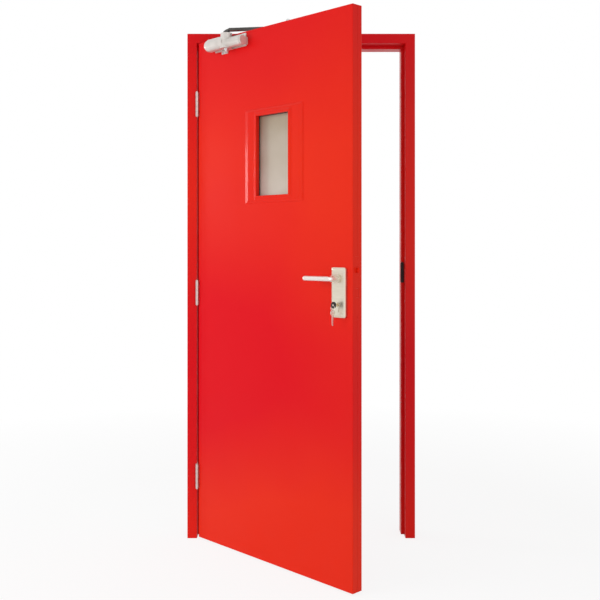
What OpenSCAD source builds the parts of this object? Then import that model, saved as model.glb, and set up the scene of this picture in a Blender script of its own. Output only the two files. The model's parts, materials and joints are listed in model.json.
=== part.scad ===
// Steel fire door set: one leaf on three butt hinges in a folded steel frame, with an overhead closer,
// a lever lock with its key, and a small vision panel. Millimetres.
// X runs across the doorway, Y into the wall and Z up from the floor. The frame's front face is Y = 0.
// Everything on the leaf is drawn with the leaf closed and is then swung open by on_leaf().

/* [Frame] */
// Overall width of the frame
frame_w = 948; // [840:1:1100]
// Overall height of the frame
frame_h = 2100; // [1980:5:2400]
// Depth of the frame through the wall
frame_d = 110; // [100:1:160]
// Width of the visible frame face
face_w = 40; // [38:1:60]
// Projection of the door stop
stop_w = 13; // [10:1:20]
// Return lip towards the wall
lip_w = 13; // [8:1:18]
// Frame sheet thickness
frame_t = 1.5; // [1.2:0.1:1.8]
// Inside radius of the frame folds
fold_r = 1; // [0.6:0.1:1.5]

/* [Leaf] */
// Angle the leaf stands open
open_angle = 45.5; // [0:0.5:110]
// Leaf thickness
leaf_t = 48; // [44:1:54]
// Gap round the leaf
gap = 3; // [2.5:0.1:4]
// Gap under the leaf
floor_gap = 8; // [5:1:12]
// Gap between closed leaf and stop
seat_gap = 3; // [2.5:0.1:5]
// Skin thickness
skin_t = 1.2; // [1:0.1:1.5]
// Leg of the top and bottom channels
channel_leg = 22; // [16:1:30]

/* [Hinges] */
// Height of a hinge
hinge_h = 100; // [90:1:125]
// Width of a hinge plate on the edge
plate_w = 32; // [28:1:36]
// Hinge plate thickness
plate_t = 3; // [2.5:0.1:3.4]
// Knuckle radius
knuckle_r = 6.5; // [6:0.1:8]
// Hinge pin radius
pin_r = 3; // [2.5:0.1:3.5]
// Leaf end to hinge centre
hinge_inset = 252; // [180:1:300]

/* [Vision panel] */
// Width of the clear sight
sight_w = 177; // [120:1:260]
// Height of the clear sight
sight_h = 308; // [200:1:420]
// Leaf top to the sight centre
sight_drop = 494; // [420:1:600]
// Offset of the sight from the leaf centre
sight_off = 26; // [0:1:40]
// Width of the trim at the sides
trim_side = 72; // [50:1:80]
// Width of the trim at top and bottom
trim_end = 28; // [26:1:50]
// Height of the trim over the skin
trim_rise = 9; // [7:1:11]
// Glass thickness
glass_t = 7; // [5:0.5:9]
// Pull skin to the glass
glass_in = 10; // [8:0.5:16]

/* [Lock and levers] */
// Height of the lever spindle over the floor
spindle_z = 1101; // [1040:1:1120]
// Lock edge to spindle
backset = 60; // [55:1:70]
// Spindle to key cylinder
cylinder_drop = 92; // [85:1:95]
// Backplate width
back_w = 67; // [56:1:76]
// Backplate thickness
back_t = 12; // [10:1:13]
// Lever length from the spindle
lever_len = 123; // [110:1:150]
// Lever grip radius
grip_r = 9.5; // [7:0.1:10.5]
// Grip centre over the skin
lever_out = 60; // [56:1:66]

/* [Closer] */
// Hinge axis to closer pinion
pinion_x = 217; // [200:1:240]
// Pinion centre over the skin
pinion_out = 30; // [30:1:34]
// Spring tube radius
tube_r = 26; // [23:0.5:28]
// Radius of the slim body end
nose_r = 20.5; // [18:0.5:24]
// Closer pinion to the tube's end
tube_len = 126; // [110:1:140]
// Closer pinion to the slim end
nose_len = 100; // [90:1:120]
// Hinge axis to shoe pivot along the frame
shoe_x = 245; // [243:1:260]
// Shoe pivot in front of the frame
shoe_out = 45; // [40:1:50]

/* [Hidden] */
$fn = 48;
eps = 1;
x_out = frame_w / 2;
reb_x = x_out - face_w;
stop_x = reb_x - stop_w;
reb_d = leaf_t + seat_gap;
fold_out = fold_r + frame_t;
mitre = face_w + stop_w + eps;
run_fit = 0.05;
seat_fit = 0.1;
// Leaf
leaf_x0 = -reb_x + gap;
leaf_x1 = reb_x - gap;
leaf_w = leaf_x1 - leaf_x0;
leaf_z0 = floor_gap;
leaf_z1 = frame_h - face_w - gap;
leaf_h = leaf_z1 - leaf_z0;
mid_y = leaf_t / 2;
seam = 0.8;
skin_r = 1;
skin_out = skin_r + skin_t;
skin_ret = mid_y - seam / 2;
stile_t = plate_t - skin_t;
channel_t = 1.2;
core_x0 = leaf_x0 + skin_t + stile_t;
core_x1 = leaf_x1 - skin_t - stile_t;
core_z0 = leaf_z0 + channel_leg;
core_z1 = leaf_z1 - channel_leg;
// Hinges
knuckle_off = 0.5;
knuckles = 5;
knuckle_gap = 0.4;
knuckle_h = (hinge_h - (knuckles - 1) * knuckle_gap) / knuckles;
axis_x = -reb_x + gap / 2;
axis_y = -(knuckle_r + knuckle_off);
mid_hinge_drop = 10;
hinge_z = [leaf_z0 + hinge_inset, (leaf_z0 + leaf_z1) / 2 - mid_hinge_drop, leaf_z1 - hinge_inset];
pin_tip = 3;
pin_tip_r = pin_r + 1.6;
back_plate_t = 5;
back_plate_over = 25;
back_plate_h = hinge_h + 2 * back_plate_over;
screw_r = 2.5;
screw_head_r = 4.8;
screw_head_h = 2.3;
screw_len = 7.5;
hole_end = 12;
hole_mid = 18;
hinge_holes = [[9, hinge_h / 2 - hole_end], [23, hole_mid], [23, -hole_mid], [9, hole_end - hinge_h / 2]];
// Wall anchors
anchor_low = 200;
anchor_high = 250;
anchor_z = [anchor_low, (anchor_low + frame_h - anchor_high) / 2, frame_h - anchor_high];
anchor_y = (reb_d + frame_d) / 2;
anchor_r = 8;
bolt_r = 5.2;
anchor_plate = [2, 36, 60];
anchor_in = 8;
// Vision panel
sight_x = sight_off;
sight_z = leaf_z1 - sight_drop;
glass_lap = 10;
glass_slack = 2;
bead_w = glass_lap;
gasket_t = 3;
gasket_show = 1.5;
trim_foot = 1.5;
trim_flat = 5;
trim_bevel = 20;
end_bevel = 8;
trim_crown = 6;
crown_slope = 10;
trim_screw_r = 2;
trim_screw_len = 11;
trim_head_h = 1.6;
trim_slot = 0.8;
cut_w = sight_w + 2 * (glass_lap + glass_slack);
cut_h = sight_h + 2 * (glass_lap + glass_slack);
pull_bead = glass_in - gasket_t;
push_bead = leaf_t - glass_in - glass_t - gasket_t;
// Lock
spindle_x = leaf_x1 - backset;
cyl_z = spindle_z - cylinder_drop;
case_t = 16;
case_wall = 1.5;
case_back = 27;
case_below = 29;
case_above = 56;
case_depth = backset + case_back;
case_z0 = cyl_z - case_below;
case_z1 = spindle_z + case_above;
forend_t = 3;
forend_w = 22;
forend_over = 22;
forend_screw_in = 9;
forend_z0 = case_z0 - forend_over;
forend_z1 = case_z1 + forend_over;
case_x1 = leaf_x1 - forend_t;
tab_t = 5;
tab_h = 16;
tab_lap = 6;
case_x0 = leaf_x1 - case_depth;
latch_up = 30;
latch_z = spindle_z + latch_up;
latch_h = 18;
latch_t = 11;
latch_out = 12;
latch_tail = 40;
bolt_down = 4;
bolt_z = (spindle_z + cyl_z) / 2 - bolt_down;
bolt_h = 32;
bolt_t = 13;
bolt_tail = 44;
bolt_slack = 0.35;
spindle_s = 8;
spindle_fit = 0.1;
neck_r = grip_r + 0.7;
lever_foot = 2;
spindle_reach = 14;
hub_r = 9;
follower_r = 11;
follower_lug = 18;
lug_half = 4;
back_below = 45;
back_above = 39;
back_z0 = cyl_z - back_below;
back_z1 = spindle_z + back_above;
through_in = 12;
back_step = 4;
back_bevel = 6;
back_corner = 7;
rose_r = 15;
rose_rise = 6;
elbow_r = 12;
through_r = 2;
cyl_r = 8.5;
cyl_lobe = 5;
cyl_low = 19.5;
cyl_slot = 16.2;
cyl_show = 2;
cam_w = 9.6;
cam_gap = 0.4;
cam_lobe = 15.4;
plug_r = 6.3;
key_t = 2.2;
key_blade = 8;
key_deep = 26;
bow_r = 11;
bow_neck = 9;
bow_hole = 3.5;
ring_r = 9;
ring_wire = 0.9;
ring_rest = 0.3;
spare_len = 34;
key_face_y = -(back_t + cyl_show + 1);
bow_y = key_face_y - bow_neck - bow_r + 2;
hole_y = bow_y - 4;
ring_top = bow_hole - ring_wire - ring_rest;
spare_hole_z = cyl_z - ring_top - 2 * ring_r - ring_top;
// Strike
strike_t = 3;
strike_w = 24;
strike_low = 20;
strike_high = 4;
strike_screw_in = 8;
strike_z0 = forend_z0 + strike_low;
strike_z1 = forend_z1 - strike_high;
hole_slack = 3;
box_deep = 26;
box_wall = 1.5;
buffer_h = 87;
buffer_w = stop_w + 2;
buffer_t = seat_gap - 0.6;
// Closer
closer_drop = 33;
closer_z = leaf_z1 - closer_drop;
body_low = closer_z - tube_r;
nose_z = body_low + nose_r;
boss_r = 23;
body_top = leaf_z1 + 1;
pinion_r = 8;
arm_z = leaf_z1 + 10;
arm_t = 10;
arm_hub_drop = 6;
slope_rim = 2;
slope_run = 14;
pinion_clear = 0.4;
foot_r = [10, 6, 5, 2.5];
foot_h = [7, 6];
fore_z = arm_z + arm_t + 5;
fore_t = 7;
arm_hub_r = 13;
arm_w = 20;
arm_end_r = 10;
stud_r = 5;
shoe_pin_r = 4;
rod_r = 4.5;
socket_r = 6.3;
socket_bore = 60;
rod_in = 50;
fore_flat = 24;
fore_neck = 19;
fore_half = 6;
cap_r = 8.5;
cap_h = 16;
cap_rim = 3;
closer_plate_t = 3;
closer_base_t = 5;
closer_screw_len = 15;
closer_screw_in = 16;
flange_w = 11;
lug_len = 36;
lug_screw_in = 8;
tube_cap = 26;
nose_cap = 6;
b_x = axis_x + pinion_x;
b_y = -pinion_out;
tube_x = b_x - tube_len + tube_cap;
nose_x = b_x + nose_len - nose_cap;
lug_x = b_x - boss_r;
base_x = nose_x - nose_cap;
nose_top = nose_z + nose_r;
tube_web = 7;
dome_step = 1;
dome_turn = 64;
nose_web = 6;
d_x = axis_x + shoe_x;
d_y = -shoe_out;
// Pinion and elbow as the leaf stands, found by swinging the pinion round the hinge axis
b_dx = b_x - axis_x;
b_dy = b_y - axis_y;
open_bx = axis_x + b_dx * cos(open_angle) + b_dy * sin(open_angle);
open_by = axis_y - b_dx * sin(open_angle) + b_dy * cos(open_angle);
link_x = d_x - axis_x;
link_y = d_y - axis_y;
elbow_x = open_bx + link_x;
elbow_y = open_by + link_y;
arm_len = norm([link_x, link_y]);
fore_len = norm([b_dx, b_dy]);
arm_turn = atan2(link_y, link_x);
fore_turn = atan2(elbow_y - d_y, elbow_x - d_x);
shoe_plate = [34, 4];
shoe_edge = 3;
shoe_screw_half = 10;
shoe_screw_drop = 16;
shoe_lug_z = fore_z + fore_t + 0.5;
shoe_lug_t = 5;
// Paints and metals
red = [0.78, 0.06, 0.07];
steel = [0.72, 0.73, 0.74];
satin = [0.8, 0.78, 0.74];
dark = [0.12, 0.12, 0.13];
wool = [0.62, 0.58, 0.48];

// Shared shapes

module on_leaf() {
  translate([axis_x, axis_y, 0])
    rotate([0, 0, -open_angle])
      translate([-axis_x, -axis_y, 0])
        children();
}

// A strip folded step by step: each entry is a flat length and the turn after it (1 left, -1 right, 0 end)
module fold(path, t, r, i = 0) {
  square([path[i][0], t]);
  if (path[i][1] > 0)
    translate([path[i][0], 0]) {
      translate([0, r + t])
        intersection() {
          difference() {
            circle(r = r + t);
            circle(r = r);
          }
          translate([0, -r - t])
            square(r + t);
        }
      translate([r + t, r + t])
        rotate(90)
          fold(path, t, r, i + 1);
    }
  if (path[i][1] < 0)
    translate([path[i][0], 0]) {
      translate([0, -r])
        intersection() {
          difference() {
            circle(r = r + t);
            circle(r = r);
          }
          square(r + t);
        }
      translate([r, -r])
        rotate(-90)
          fold(path, t, r, i + 1);
    }
}

frame_path = [
  [lip_w - fold_out, 1],
  [face_w - 2 * fold_out, 1],
  [reb_d - fold_out - fold_r, -1],
  [stop_w - fold_out - fold_r, 1],
  [frame_d - reb_d - 2 * fold_out, 1],
  [face_w + stop_w - 2 * fold_out, 1],
  [lip_w - fold_out, 0]];

module frame_profile() {
  translate([0, lip_w])
    rotate(-90)
      fold(frame_path, frame_t, fold_r);
}

module across(points) {
  translate([0, frame_d + eps, 0])
    rotate([90, 0, 0])
      linear_extrude(frame_d + 2 * eps)
        polygon(points);
}

// Jamb on the hinge side, cut to the mitre; the lock jamb is its mirror image
module plain_jamb() {
  intersection() {
    translate([-x_out, 0, 0])
      linear_extrude(frame_h)
        frame_profile();
    across([[-x_out - eps, 0], [-x_out + mitre, 0], [-x_out + mitre, frame_h - mitre],
      [-x_out - eps, frame_h + eps]]);
  }
}

module anchor_holes() {
  for (z = anchor_z)
    translate([-stop_x - frame_t - eps, anchor_y, z])
      rotate([0, 90, 0])
        cylinder(r = bolt_r, h = frame_t + 2 * eps);
}

module screw(grow = 0, deep = screw_len) {
  translate([0, 0, -screw_head_h])
    cylinder(r1 = screw_r + grow, r2 = screw_head_r + grow, h = screw_head_h);
  translate([0, 0, -deep])
    cylinder(r = screw_r + grow, h = deep - screw_head_h);
}

module cross_screw(deep = screw_len) {
  difference() {
    screw(0, deep);
    for (a = [0, 90])
      rotate(a)
        translate([-screw_r, -0.5, -1.4])
          cube([2 * screw_r, 1, 1.4 + eps]);
  }
}

// Screw places of a hinge plate; side -1 is the jamb's plate, 1 the leaf's
module hinge_screws(side) {
  for (h = hinge_holes)
    translate([side * gap / 2, h[0] - axis_y, h[1]])
      rotate([0, -side * 90, 0])
        children();
}

module at_hinge(z) {
  translate([axis_x, axis_y, z])
    children();
}

module hinge_plate(side, first) {
  x0 = side > 0 ? gap / 2 : -gap / 2 - plate_t;
  difference() {
    union() {
      translate([x0, -axis_y, -hinge_h / 2])
        cube([plate_t, plate_w, hinge_h]);
      for (k = [first : 2 : knuckles - 1])
        translate([0, 0, -hinge_h / 2 + k * (knuckle_h + knuckle_gap)]) {
          cylinder(r = knuckle_r, h = knuckle_h);
          translate([x0, 0, 0])
            cube([plate_t, -axis_y + eps, knuckle_h]);
        }
    }
    translate([0, 0, -hinge_h / 2 - eps])
      cylinder(r = pin_r + run_fit, h = hinge_h + 2 * eps);
    hinge_screws(side)
      screw(run_fit);
  }
}

module hinge_window(side, z, deep) {
  x0 = side > 0 ? gap / 2 - eps : -gap / 2 - deep;
  at_hinge(z)
    translate([x0, -axis_y - eps, -hinge_h / 2 - seat_fit])
      cube([deep + eps, plate_w + seat_fit + eps, hinge_h + 2 * seat_fit]);
}

module hinge_backer(side, z, start, deep) {
  x0 = side > 0 ? gap / 2 + start : -gap / 2 - start - back_plate_t;
  difference() {
    at_hinge(z)
      translate([x0, -axis_y + 4, -back_plate_h / 2])
        cube([back_plate_t, plate_w + 8, back_plate_h]);
    hinge_window(side, z, deep);
    at_hinge(z)
      hinge_screws(side)
        screw(run_fit, screw_len + 1);
  }
}

// A plate with rounded corners standing on the XZ plane, thickness towards -Y
module standing_plate(x, z, w, h, t, r) {
  translate([x - w / 2, 0, z - h / 2])
    rotate([90, 0, 0])
      linear_extrude(t) {
        translate([r, 0])
          square([w - 2 * r, h]);
        translate([0, r])
          square([w, h - 2 * r]);
        for (cx = [r, w - r])
          for (cy = [r, h - r])
            translate([cx, cy])
              circle(r = r);
      }
}

// A round bar along Y from y0 to y1
module y_bar(x, z, r, y0, y1) {
  translate([x, y1, z])
    rotate([90, 0, 0])
      cylinder(r = r, h = y1 - y0);
}

module x_bar(y, z, r, x0, x1) {
  translate([x0, y, z])
    rotate([0, 90, 0])
      cylinder(r = r, h = x1 - x0);
}

module box(x0, x1, y0, y1, z0, z1) {
  translate([x0, y0, z0])
    cube([x1 - x0, y1 - y0, z1 - z0]);
}

// Mirrors a pull-side piece to the push side of the leaf
module push_side() {
  translate([0, leaf_t, 0])
    mirror([0, 1, 0])
      children();
}

// Frame

module hinge_jamb() {
  color(red)
    difference() {
      plain_jamb();
      anchor_holes();
      for (z = hinge_z)
        hinge_window(-1, z, plate_t);
    }
}

module lock_jamb() {
  color(red)
    difference() {
      mirror([1, 0, 0])
        difference() {
          plain_jamb();
          anchor_holes();
        }
      box(reb_x - eps, reb_x + strike_t, mid_y - strike_w / 2 - seat_fit, mid_y + strike_w / 2 + seat_fit,
        strike_z0 - seat_fit, strike_z1 + seat_fit);
    }
}

module head_jamb() {
  color(red)
    difference() {
      intersection() {
        translate([-x_out, 0, frame_h])
          rotate([0, 90, 0])
            linear_extrude(frame_w)
              frame_profile();
        across([[-x_out - eps, frame_h + eps], [x_out + eps, frame_h + eps],
          [x_out - mitre, frame_h - mitre], [-x_out + mitre, frame_h - mitre]]);
      }
      shoe_screw_places()
        screw(run_fit, screw_len + eps);
    }
}

module anchor_set() {
  for (z = anchor_z)
    difference() {
      union() {
        x_bar(anchor_y, z, anchor_r, -x_out + anchor_in, -stop_x - frame_t);
        box(-x_out + anchor_in, -x_out + anchor_in + anchor_plate[0], anchor_y - anchor_plate[1] / 2,
          anchor_y + anchor_plate[1] / 2, z - anchor_plate[2] / 2, z + anchor_plate[2] / 2);
      }
      x_bar(anchor_y, z, bolt_r, -x_out + anchor_in - eps, -stop_x);
    }
}

module wall_anchors() {
  color(steel) {
    anchor_set();
    mirror([1, 0, 0])
      anchor_set();
  }
}

module jamb_hinge_backers() {
  color(steel)
    for (z = hinge_z)
      hinge_backer(-1, z, frame_t, plate_t);
}

module strike_screw_places() {
  for (z = [strike_z0 + strike_screw_in, strike_z1 - strike_screw_in])
    translate([reb_x, mid_y, z])
      rotate([0, -90, 0])
        children();
}

module strike_plate() {
  color(red)
    difference() {
      box(reb_x, reb_x + strike_t, mid_y - strike_w / 2, mid_y + strike_w / 2, strike_z0, strike_z1);
      box(reb_x - eps, reb_x + strike_t + eps, mid_y - latch_t / 2 - hole_slack,
        mid_y + latch_t / 2 + hole_slack, latch_z - latch_h / 2 - hole_slack,
        latch_z + latch_h / 2 + hole_slack);
      box(reb_x - eps, reb_x + strike_t + eps, mid_y - bolt_t / 2 - hole_slack,
        mid_y + bolt_t / 2 + hole_slack, bolt_z - bolt_h / 2 - hole_slack, bolt_z + bolt_h / 2 + hole_slack);
      strike_screw_places()
        screw(run_fit, screw_len + eps);
    }
}

module strike_box() {
  z0 = bolt_z - bolt_h / 2 - hole_slack - 4;
  z1 = latch_z + latch_h / 2 + hole_slack + 4;
  color(dark)
    difference() {
      box(reb_x + strike_t, reb_x + strike_t + box_deep, mid_y - strike_w / 2, mid_y + strike_w / 2, z0, z1);
      box(reb_x + strike_t - eps, reb_x + strike_t + box_deep - box_wall, mid_y - strike_w / 2 + box_wall,
        mid_y + strike_w / 2 - box_wall, z0 + box_wall, z1 - box_wall);
    }
}

module latch_buffer() {
  color(dark)
    intersection() {
      translate([0, reb_d, 0])
        standing_plate(reb_x - buffer_w / 2, spindle_z + 4, buffer_w, buffer_h, buffer_t, buffer_w / 2 - 0.5);
      box(stop_x - buffer_w, reb_x - fold_r, 0, reb_d, 0, frame_h);
    }
}

module shoe_screw_places() {
  for (dx = [-shoe_screw_half, shoe_screw_half])
    translate([d_x + dx, -shoe_plate[1], shoe_lug_z - shoe_screw_drop])
      rotate([90, 0, 0])
        children();
}

module frame_screws() {
  color(steel) {
    for (z = hinge_z)
      at_hinge(z)
        hinge_screws(-1)
          cross_screw();
    strike_screw_places()
      cross_screw();
    shoe_screw_places()
      cross_screw();
  }
}

module fixed_leaf(z) {
  color(satin)
    at_hinge(z)
      hinge_plate(-1, 0);
}

module top_hinge_fixed() {
  fixed_leaf(hinge_z[2]);
}

module middle_hinge_fixed() {
  fixed_leaf(hinge_z[1]);
}

module bottom_hinge_fixed() {
  fixed_leaf(hinge_z[0]);
}

module hinge_pins() {
  color(steel)
    for (z = hinge_z)
      at_hinge(z) {
        translate([0, 0, -hinge_h / 2 - knuckle_gap])
          cylinder(r = pin_r, h = hinge_h + 2 * knuckle_gap);
        for (s = [-1, 1])
          translate([0, 0, s * (hinge_h / 2 + pin_tip / 2)])
            cylinder(r = pin_tip_r, h = pin_tip, center = true);
      }
}

module closer_shoe() {
  lug_z1 = shoe_lug_z + shoe_lug_t;
  color(steel)
    difference() {
      union() {
        box(d_x - shoe_plate[0] / 2, d_x + shoe_plate[0] / 2, -shoe_plate[1], 0, frame_h - face_w + shoe_edge,
          frame_h - shoe_edge);
        box(d_x - arm_end_r, d_x + arm_end_r, d_y, -shoe_plate[1], shoe_lug_z, lug_z1);
        translate([d_x, d_y, shoe_lug_z])
          cylinder(r = arm_end_r, h = shoe_lug_t);
      }
      translate([d_x, d_y, shoe_lug_z - eps])
        cylinder(r = shoe_pin_r, h = shoe_lug_t + 2 * eps);
      shoe_screw_places()
        screw(run_fit, screw_len + eps);
    }
}

module shoe_pin() {
  color(satin)
    translate([d_x, d_y, 0]) {
      translate([0, 0, fore_z - 0.5])
        cylinder(r = shoe_pin_r, h = shoe_lug_z + shoe_lug_t - fore_z + 0.5);
      translate([0, 0, shoe_lug_z + shoe_lug_t])
        cylinder(r = shoe_pin_r + 3, h = 2.5);
      translate([0, 0, fore_z - 2.5])
        cylinder(r = shoe_pin_r + 2, h = 2);
    }
}

// Leaf

skin_path = [
  [skin_ret - skin_out, 1],
  [leaf_w - 2 * skin_out, 1],
  [skin_ret - skin_out, 0]];

module sight_cut() {
  box(sight_x - cut_w / 2, sight_x + cut_w / 2, -eps, leaf_t + eps, sight_z - cut_h / 2, sight_z + cut_h / 2);
}

module forend_cut() {
  box(leaf_x1 - forend_t - seat_fit, leaf_x1 + eps, mid_y - forend_w / 2 - seat_fit,
    mid_y + forend_w / 2 + seat_fit, forend_z0 - seat_fit, forend_z1 + seat_fit);
}

module through_holes() {
  y_bar(spindle_x, spindle_z, neck_r + 2, -eps, leaf_t + eps);
  for (z = [back_z0 + through_in, back_z1 - through_in])
    y_bar(spindle_x, z, through_r + 0.3, -eps, leaf_t + eps);
}

module cyl_profile(grow) {
  circle(r = cyl_r + grow);
  translate([-cyl_lobe - grow, -cyl_low])
    square([2 * (cyl_lobe + grow), cyl_low]);
  translate([0, -cyl_low])
    circle(r = cyl_lobe + grow);
}

module cyl_prism(grow, y0, y1) {
  translate([spindle_x, y1, cyl_z])
    rotate([90, 0, 0])
      linear_extrude(y1 - y0)
        cyl_profile(grow);
}

// Two screws in the lug under the tube and two in the flange over the slim end
module closer_screw_places() {
  low = body_low - flange_w / 2;
  high = nose_top + flange_w / 2;
  for (p = [[lug_x - lug_len + lug_screw_in, low], [lug_x - lug_screw_in, low],
      [b_x + boss_r + closer_screw_in, high], [base_x - closer_screw_in, high]])
    translate([p[0], -closer_base_t, p[1]])
      rotate([90, 0, 0])
        children();
}

module plain_skin() {
  translate([leaf_x0, 0, leaf_z0])
    linear_extrude(leaf_h)
      translate([0, skin_ret])
        rotate(-90)
          fold(skin_path, skin_t, skin_r);
}

module pull_skin() {
  color(red)
    on_leaf()
      difference() {
        plain_skin();
        sight_cut();
        forend_cut();
        through_holes();
        cyl_prism(0.5, -eps, mid_y);
        closer_screw_places()
          screw(run_fit, closer_screw_len + eps);
        for (z = hinge_z)
          hinge_window(1, z, plate_t);
      }
}

module push_skin() {
  color(red)
    on_leaf()
      difference() {
        push_side()
          plain_skin();
        sight_cut();
        forend_cut();
        through_holes();
        trim_screw_places()
          y_bar(0, 0, trim_screw_r + run_fit, -trim_screw_len - eps, eps);
        for (z = hinge_z)
          hinge_window(1, z, plate_t);
      }
}

module lock_pocket(grow) {
  box(case_x0 - grow, leaf_x1, mid_y - case_t / 2 - grow, mid_y + case_t / 2 + grow, case_z0 - grow,
    case_z1 + grow);
}

module leaf_core() {
  color(wool)
    on_leaf()
      difference() {
        box(core_x0, core_x1, skin_t, leaf_t - skin_t, core_z0, core_z1);
        sight_cut();
        lock_pocket(0.5);
        through_holes();
        cyl_prism(0.5, 0, leaf_t);
        box(tube_x - eps, nose_x + eps, 0, closer_screw_len, body_low - flange_w - eps, core_z1 + eps);
        trim_screw_places()
          y_bar(0, 0, trim_screw_r + 0.2, -trim_screw_len - 3, 0);
        forend_tabs(0.4);
        for (z = hinge_z)
          at_hinge(z)
            box(0, plate_t + gap / 2 + back_plate_t + 0.4, 0, leaf_t - axis_y, -back_plate_h / 2 - 0.5,
              back_plate_h / 2 + 0.5);
      }
}

module stile(x0) {
  box(x0, x0 + stile_t, skin_out, leaf_t - skin_out, leaf_z0 + channel_leg, leaf_z1 - channel_leg);
}

module hinge_stile() {
  color(steel)
    on_leaf()
      difference() {
        stile(leaf_x0 + skin_t);
        for (z = hinge_z)
          hinge_window(1, z, plate_t + eps);
      }
}

// Pads behind the forend's ends that take its screws
module forend_tabs(grow) {
  for (z = [forend_z0 + forend_screw_in, forend_z1 - forend_screw_in])
    box(core_x1 - tab_t - grow, core_x1 + stile_t, mid_y - forend_w / 2 - tab_lap - grow,
      mid_y + forend_w / 2 + tab_lap + grow, z - tab_h / 2 - grow, z + tab_h / 2 + grow);
}

module lock_stile() {
  color(steel)
    on_leaf()
      difference() {
        union() {
          stile(core_x1);
          forend_tabs(0);
        }
        forend_cut();
        lock_pocket(0.3);
        forend_screw_places()
          screw(run_fit, screw_len + 2 * tab_t);
      }
}

channel_path = [
  [channel_leg - 2 * channel_t - skin_r, 1],
  [leaf_t - 2 * skin_t - 2 * (skin_r + channel_t), 1],
  [channel_leg - 2 * channel_t - skin_r, 0]];

// A channel lying along X with its web at z = 0 and its legs up
module channel() {
  translate([leaf_x0 + skin_out, leaf_t - skin_t, channel_leg - channel_t])
    rotate([90, 0, 90])
      linear_extrude(leaf_w - 2 * skin_out)
        mirror([1, 0])
          rotate(-90)
            fold(channel_path, channel_t, skin_r);
}

module top_channel() {
  color(red)
    on_leaf()
      difference() {
        translate([0, 0, leaf_z1])
          mirror([0, 0, 1])
            channel();
        closer_screw_places()
          screw(run_fit, closer_screw_len + eps);
      }
}

module bottom_channel() {
  color(red)
    on_leaf()
      translate([0, 0, leaf_z0])
        channel();
}

module leaf_hinge_backers() {
  color(steel)
    on_leaf()
      for (z = hinge_z)
        hinge_backer(1, z, plate_t, plate_t);
}

module closer_backer() {
  y0 = skin_t + channel_t;
  color(steel)
    on_leaf()
      difference() {
        box(tube_x, nose_x, y0, y0 + closer_plate_t, body_low - flange_w, leaf_z1 - 3 * channel_t);
        closer_screw_places()
          screw(run_fit, closer_screw_len + eps);
      }
}

module lock_case() {
  color(steel)
    on_leaf()
      difference() {
        box(case_x0, case_x1, mid_y - case_t / 2, mid_y + case_t / 2, case_z0, case_z1);
        box(case_x0 + case_wall, case_x1 - case_wall, mid_y - case_t / 2 + case_wall,
          mid_y + case_t / 2 - case_wall, case_z0 + case_wall, case_z1 - case_wall);
        y_bar(spindle_x, spindle_z, hub_r + run_fit, 0, leaf_t);
        y_bar(spindle_x, back_z1 - through_in, through_r + 0.3, 0, leaf_t);
        cyl_prism(0.3, 0, leaf_t);
        box(case_x1 - 2 * case_wall, case_x1 + eps, mid_y - latch_t / 2 - bolt_slack,
          mid_y + latch_t / 2 + bolt_slack, latch_z - latch_h / 2 - bolt_slack,
          latch_z + latch_h / 2 + bolt_slack);
        box(case_x1 - 2 * case_wall, case_x1 + eps, mid_y - bolt_t / 2 - bolt_slack,
          mid_y + bolt_t / 2 + bolt_slack, bolt_z - bolt_h / 2 - bolt_slack,
          bolt_z + bolt_h / 2 + bolt_slack);
      }
}

module forend_screw_places() {
  for (z = [forend_z0 + forend_screw_in, forend_z1 - forend_screw_in])
    translate([leaf_x1, mid_y, z])
      rotate([0, 90, 0])
        children();
}

module lock_forend() {
  color(red)
    on_leaf()
      difference() {
        box(case_x1, leaf_x1, mid_y - forend_w / 2, mid_y + forend_w / 2, forend_z0, forend_z1);
        box(case_x1 - eps, leaf_x1 + eps, mid_y - latch_t / 2 - bolt_slack, mid_y + latch_t / 2 + bolt_slack,
          latch_z - latch_h / 2 - bolt_slack, latch_z + latch_h / 2 + bolt_slack);
        box(case_x1 - eps, leaf_x1 + eps, mid_y - bolt_t / 2 - bolt_slack, mid_y + bolt_t / 2 + bolt_slack,
          bolt_z - bolt_h / 2 - bolt_slack, bolt_z + bolt_h / 2 + bolt_slack);
        forend_screw_places()
          screw(run_fit, screw_len);
      }
}

module leaf_screws() {
  color(steel)
    on_leaf() {
      for (z = hinge_z)
        at_hinge(z)
          hinge_screws(1)
            cross_screw();
    }
}

module forend_screws() {
  color(red)
    on_leaf()
      forend_screw_places()
        cross_screw();
}

module backplate() {
  difference() {
    union() {
      hull() {
        standing_plate(spindle_x, (back_z0 + back_z1) / 2, back_w, back_z1 - back_z0, back_t - back_step,
          back_corner);
        standing_plate(spindle_x, (back_z0 + back_z1) / 2, back_w - 2 * back_bevel,
          back_z1 - back_z0 - 2 * back_bevel, back_t, back_corner / 2);
      }
      y_bar(spindle_x, spindle_z, rose_r, -back_t - rose_rise, -back_t + eps);
    }
    y_bar(spindle_x, spindle_z, neck_r + run_fit, -back_t - rose_rise - eps, eps);
  }
}

module pull_backplate() {
  color(satin)
    on_leaf()
      difference() {
        backplate();
        cyl_prism(0.3, -back_t - eps, eps);
        for (z = [back_z0 + through_in, back_z1 - through_in])
          y_bar(spindle_x, z, through_r + run_fit, -6, eps);
      }
}

module push_backplate() {
  color(satin)
    on_leaf()
      difference() {
        push_side()
          backplate();
        for (z = [back_z0 + through_in, back_z1 - through_in]) {
          y_bar(spindle_x, z, through_r + run_fit, leaf_t - eps, leaf_t + back_t + eps);
          y_bar(spindle_x, z, 2 * through_r + run_fit, leaf_t + back_t - 2, leaf_t + back_t + eps);
        }
      }
}

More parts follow.
